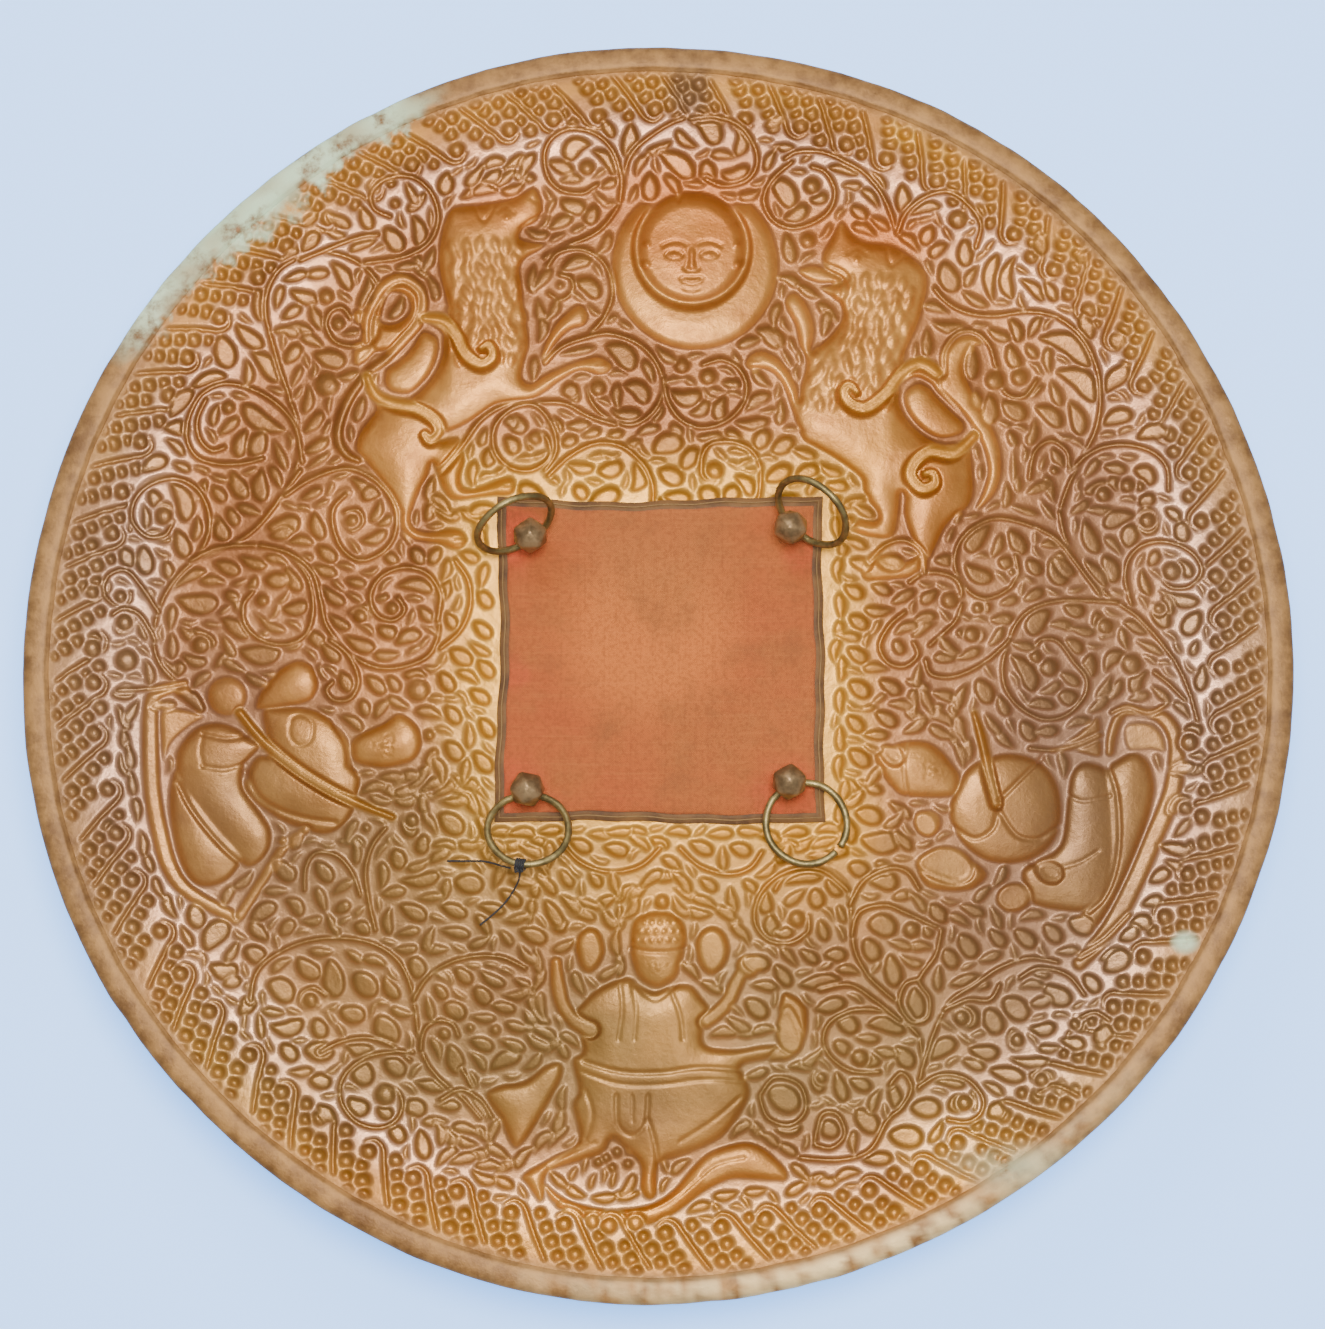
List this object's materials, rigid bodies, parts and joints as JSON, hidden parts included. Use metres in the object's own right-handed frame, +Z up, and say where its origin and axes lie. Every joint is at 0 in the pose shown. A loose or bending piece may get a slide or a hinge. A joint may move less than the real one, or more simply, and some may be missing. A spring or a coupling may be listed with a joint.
{
  "type": "dhal shield",
  "caption": "Round domed metal shield with embossed figures and scrolls, a padded cloth square inside and swinging rings on ball-headed studs for the arm straps.",
  "frame": {"origin": "on the floor under the middle of the shield, which lies on its front with its hollow inside up", "axes": "+Z up out of the hollow, +Y towards the crescent at the top of the ornament, +X to the right of the inside as it is looked down on"},
  "size_m": [0.5606, 0.5602, 0.0707],
  "materials": {
    "copper_alloy": "aged, part polished",
    "dark_bronze": "dark patina",
    "brass_bosses": "satin",
    "backing_leather": "worn",
    "madder_cloth": "plain weave, worn",
    "black_thread": "matte"
  },
  "bodies": {
    "shield": {"shield_plate": "copper_alloy", "pad_backing": "backing_leather", "pad_cushion": "madder_cloth", "ring_stud_top_left": "dark_bronze", "ring_stud_top_right": "dark_bronze", "ring_stud_bottom_left": "dark_bronze", "ring_stud_bottom_right": "dark_bronze", "front_boss_top_left": "brass_bosses", "front_boss_top_right": "brass_bosses", "front_boss_bottom_left": "brass_bosses", "front_boss_bottom_right": "brass_bosses"},
    "ring_top_left_body": {"ring_top_left": "dark_bronze"},
    "ring_top_right_body": {"ring_top_right": "dark_bronze"},
    "ring_bottom_left_body": {"ring_bottom_left": "dark_bronze", "tie_thread_long": "black_thread", "tie_thread_short": "black_thread"},
    "ring_bottom_right_body": {"ring_bottom_right": "dark_bronze"}
  },
  "joints": [
    {"name": "ring_top_left_swing", "type": "hinge", "parent": "shield", "child": "ring_top_left_body", "pos_m": [-0.05892, 0.05911, 0.02491], "axis": [0.8825, 0.4698, -0.0218], "range_deg": [-65.8, 122.5]},
    {"name": "ring_top_right_swing", "type": "hinge", "parent": "shield", "child": "ring_top_right_body", "pos_m": [0.0618, 0.06477, 0.02629], "axis": [0.7489, -0.6613, -0.0424], "range_deg": [-59.5, 128.2]},
    {"name": "ring_bottom_left_swing", "type": "hinge", "parent": "shield", "child": "ring_bottom_left_body", "pos_m": [-0.05942, -0.059, 0.02505], "axis": [-0.999, -0.0301, 0.0342], "range_deg": [0, 160.2]},
    {"name": "ring_bottom_right_swing", "type": "hinge", "parent": "shield", "child": "ring_bottom_right_body", "pos_m": [0.05973, -0.05506, 0.02456], "axis": [-0.9131, -0.4076, -0.009], "range_deg": [0, 188.2]}
  ]
}
